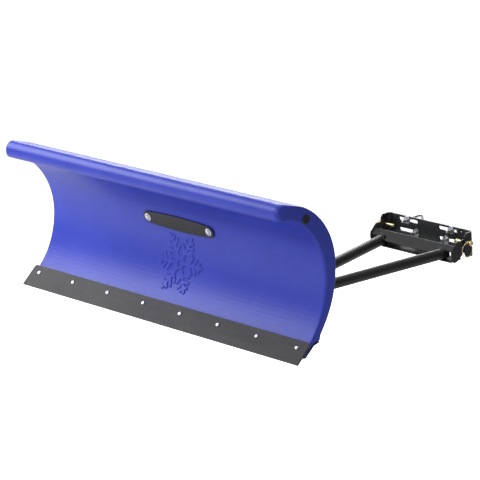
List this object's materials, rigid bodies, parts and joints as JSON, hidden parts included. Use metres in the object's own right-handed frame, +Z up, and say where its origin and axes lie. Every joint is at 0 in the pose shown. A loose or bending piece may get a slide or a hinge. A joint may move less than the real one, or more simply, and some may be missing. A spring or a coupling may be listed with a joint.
{
  "type": "atv plow blade",
  "caption": "Curved moulded snow blade with a bolted wear bar, spring trip and swivel, on an A-shaped push frame with a clamped mount bracket.",
  "frame": {"origin": "on the ground under the middle of the whole plow's box; the cutting edge is 588 mm in front of it", "axes": "+X to the blade's right end as seen from the front, +Y back along the push frame to the vehicle, +Z up"},
  "size_m": [1.32, 1.452, 0.4862],
  "materials": {
    "blade_plastic": "satin moulded polyethylene, ultramarine blue",
    "wear_steel": "matt black coated flat bar",
    "black_steel": "satin black powder coat",
    "badge_steel": "satin black powder coat",
    "plug_plastic": "matt black",
    "zinc_steel": "bright zinc plate",
    "yellow_zinc": "yellow zinc plate",
    "spring_steel": "zinc plated spring wire"
  },
  "bodies": {
    "mount": {"mount_bracket": "black_steel", "hook_bolt_1": "zinc_steel", "hook_bolt_2": "zinc_steel", "hook_bolt_3": "zinc_steel", "hook_bolt_4": "zinc_steel", "hook_nut_1": "zinc_steel", "hook_nut_2": "zinc_steel", "hook_nut_3": "zinc_steel", "hook_nut_4": "zinc_steel"},
    "push_frame": {"push_tube_left": "black_steel", "push_tube_right": "black_steel", "crossbar_top": "black_steel", "crossbar_bottom": "black_steel", "ear_left": "black_steel", "ear_right": "black_steel", "end_plate": "black_steel", "tongue_top": "black_steel", "tongue_bottom": "black_steel", "king_bolt": "zinc_steel", "king_nut": "zinc_steel", "pin_guide": "black_steel", "winch_loop": "black_steel", "angle_pin_spring": "spring_steel"},
    "angle_lock": {"angle_pin": "zinc_steel"},
    "swivel": {"index_plate": "black_steel", "carrier_beam": "black_steel", "trip_pin_left": "zinc_steel", "trip_pin_right": "zinc_steel", "spring_eye_left": "zinc_steel", "spring_eye_right": "zinc_steel", "trip_spring_left": "spring_steel", "trip_spring_right": "spring_steel"},
    "blade": {"blade_shell": "blade_plastic", "wear_bar": "wear_steel", "rear_rail": "black_steel", "badge_plate": "badge_steel", "spring_bar": "zinc_steel", "wear_bolt_1": "zinc_steel", "wear_bolt_2": "zinc_steel", "wear_bolt_3": "zinc_steel", "wear_bolt_4": "zinc_steel", "wear_bolt_5": "zinc_steel", "wear_bolt_6": "zinc_steel", "wear_bolt_7": "zinc_steel", "wear_bolt_8": "zinc_steel", "end_plug_left": "plug_plastic", "end_plug_right": "plug_plastic", "upright_left": "black_steel", "upright_right": "black_steel", "badge_bolt_left": "zinc_steel", "badge_bolt_right": "zinc_steel", "badge_nut_left": "zinc_steel", "badge_nut_right": "zinc_steel"},
    "lift_pin_l": {"lift_pin_left": "yellow_zinc"},
    "lift_pin_r": {"lift_pin_right": "yellow_zinc"},
    "ring_l": {"pin_ring_left": "yellow_zinc"},
    "ring_r": {"pin_ring_right": "yellow_zinc"}
  },
  "joints": [
    {"name": "lift_pivot", "type": "hinge", "parent": "mount", "child": "push_frame", "pos_m": [0, 0.62255, 0.26614], "axis": [-1, 0, 0], "range_deg": [-8, 30]},
    {"name": "angle_pivot", "type": "hinge", "parent": "push_frame", "child": "swivel", "pos_m": [0, -0.15819, 0.06865], "axis": [0, 0, 1], "range_deg": [-30, 30]},
    {"name": "blade_trip", "type": "hinge", "parent": "swivel", "child": "blade", "pos_m": [0, -0.42194, 0.09972], "axis": [1, 0, 0], "range_deg": [0, 35], "stiffness_Nm_per_rad": 260, "springref_deg": -14.32, "deforming": ["trip_spring_left", "trip_spring_right"]},
    {"name": "angle_pin_slide", "type": "slide", "parent": "push_frame", "child": "angle_lock", "axis": [0, 0, 1], "range_m": [-0.02, 0], "deforming": ["angle_pin_spring"]},
    {"name": "lift_pin_left_pull", "type": "slide", "parent": "mount", "child": "lift_pin_l", "axis": [-1, 0, 0], "range_m": [0, 0.048]},
    {"name": "lift_pin_right_pull", "type": "slide", "parent": "mount", "child": "lift_pin_r", "axis": [1, 0, 0], "range_m": [0, 0.048]},
    {"name": "ring_left_swing", "type": "hinge", "parent": "lift_pin_l", "child": "ring_l", "pos_m": [-0.212, 0.62255, 0.26614], "axis": [0, 0.9397, -0.342], "range_deg": [-8, 70]},
    {"name": "ring_right_swing", "type": "hinge", "parent": "lift_pin_r", "child": "ring_r", "pos_m": [0.212, 0.62255, 0.26614], "axis": [0, -0.9397, 0.342], "range_deg": [-8, 70]}
  ]
}
